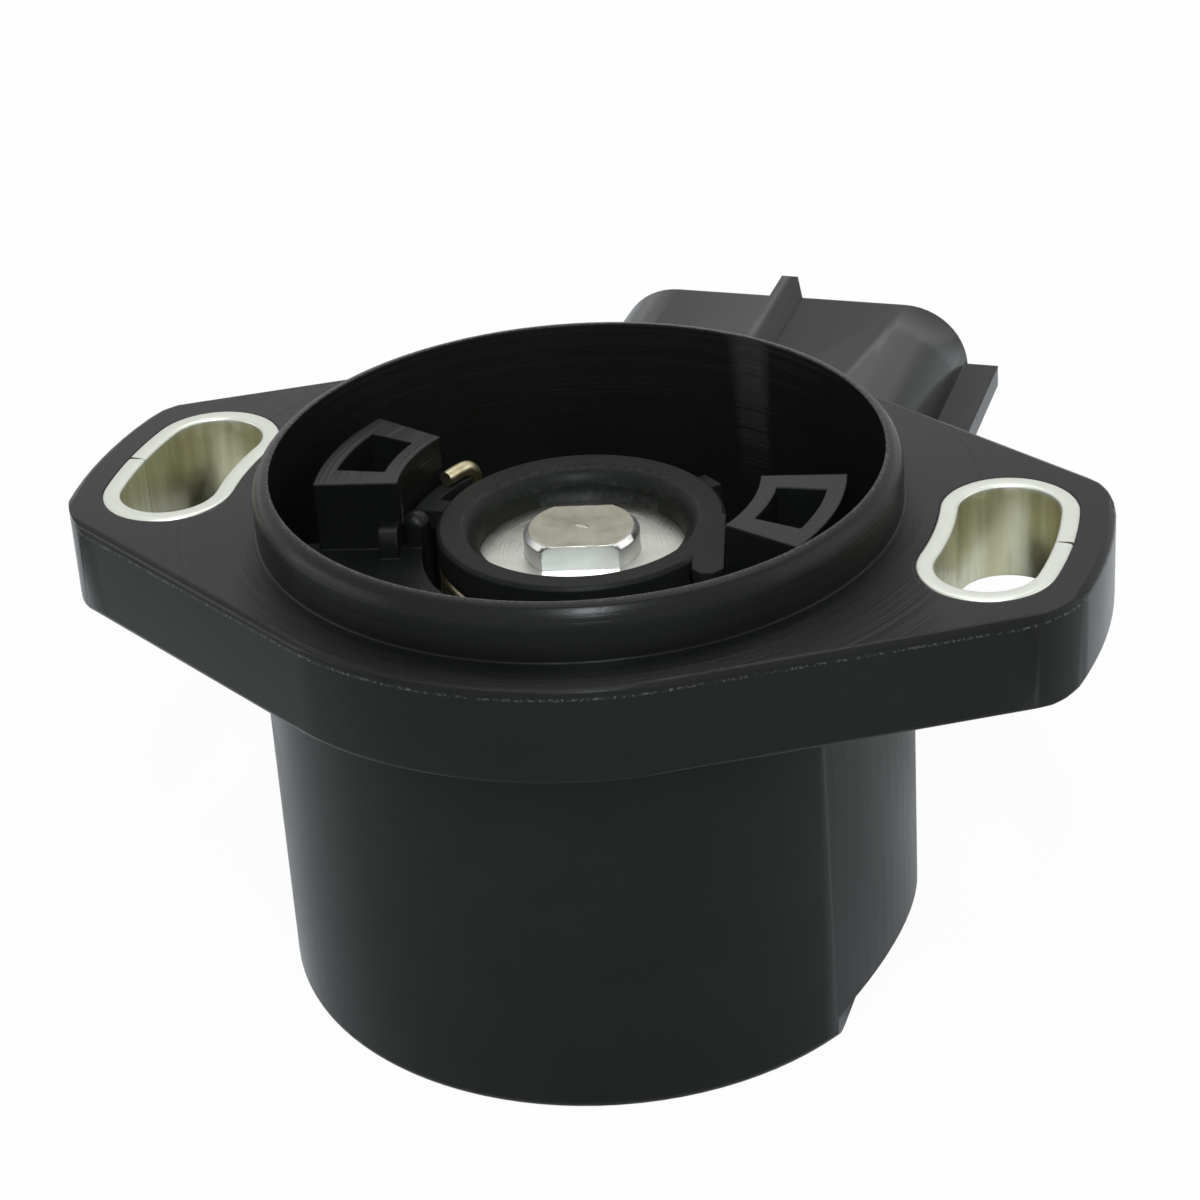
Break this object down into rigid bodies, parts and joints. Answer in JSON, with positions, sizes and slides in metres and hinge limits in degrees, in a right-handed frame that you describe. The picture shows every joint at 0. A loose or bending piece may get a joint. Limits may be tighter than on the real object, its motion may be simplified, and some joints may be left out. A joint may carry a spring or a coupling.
{
  "type": "throttle position sensor",
  "caption": "Rotary throttle position sensor: moulded drum with slotted ears, centring collar, open cup with a spring-returned lever on a flatted shaft, and a side plug socket",
  "frame": {"origin": "on the shaft axis, in the plane of the flange's mounting face, where the centring collar starts", "axes": "+X along the line through the two slots, +Y towards the plug socket, +Z out of the cup towards the throttle shaft"},
  "size_m": [0.072, 0.0681, 0.0379],
  "materials": {
    "black_nylon": "fine satin moulded, light scuffs on rims",
    "dark_nylon": "smooth satin moulded",
    "zinc_steel": "zinc plated, rolled",
    "turned_steel": "turned, warm grey end face",
    "bright_steel": "bright stamped",
    "brass_wire": "drawn wire",
    "tin_plate": "tin plated",
    "bronze": "sintered or rolled bronze",
    "seal_rubber": "moulded rubber",
    "ceramic_board": "pressed board, matt white",
    "carbon_ink": "printed carbon"
  },
  "bodies": {
    "housing": {"housing": "black_nylon", "slot_bushing_left": "zinc_steel", "slot_bushing_right": "zinc_steel", "return_spring": "brass_wire", "shaft_bush": "bronze", "shaft_seal": "seal_rubber", "resistor_board": "ceramic_board", "inner_track": "carbon_ink", "outer_track": "carbon_ink", "terminal_1": "tin_plate", "terminal_2": "tin_plate", "terminal_3": "tin_plate", "terminal_4": "tin_plate", "terminal_5": "tin_plate", "terminal_6": "tin_plate", "cover_gasket": "seal_rubber", "bottom_cover": "black_nylon"},
    "rotor": {"shaft": "turned_steel", "drive_plate": "bright_steel", "lever": "dark_nylon", "upper_washer": "tin_plate", "lower_washer": "bright_steel", "retaining_clip": "bright_steel", "wiper_carrier": "black_nylon", "push_nut": "bright_steel", "inner_wiper": "bronze", "outer_wiper": "bronze"}
  },
  "joints": [
    {"name": "rotor_turn", "type": "hinge", "parent": "housing", "child": "rotor", "pos_m": [0, 0, 0], "axis": [0, 0, -1], "range_deg": [0, 119], "stiffness_Nm_per_rad": 0.03, "springref_deg": -60.16, "deforming": ["return_spring"]}
  ]
}
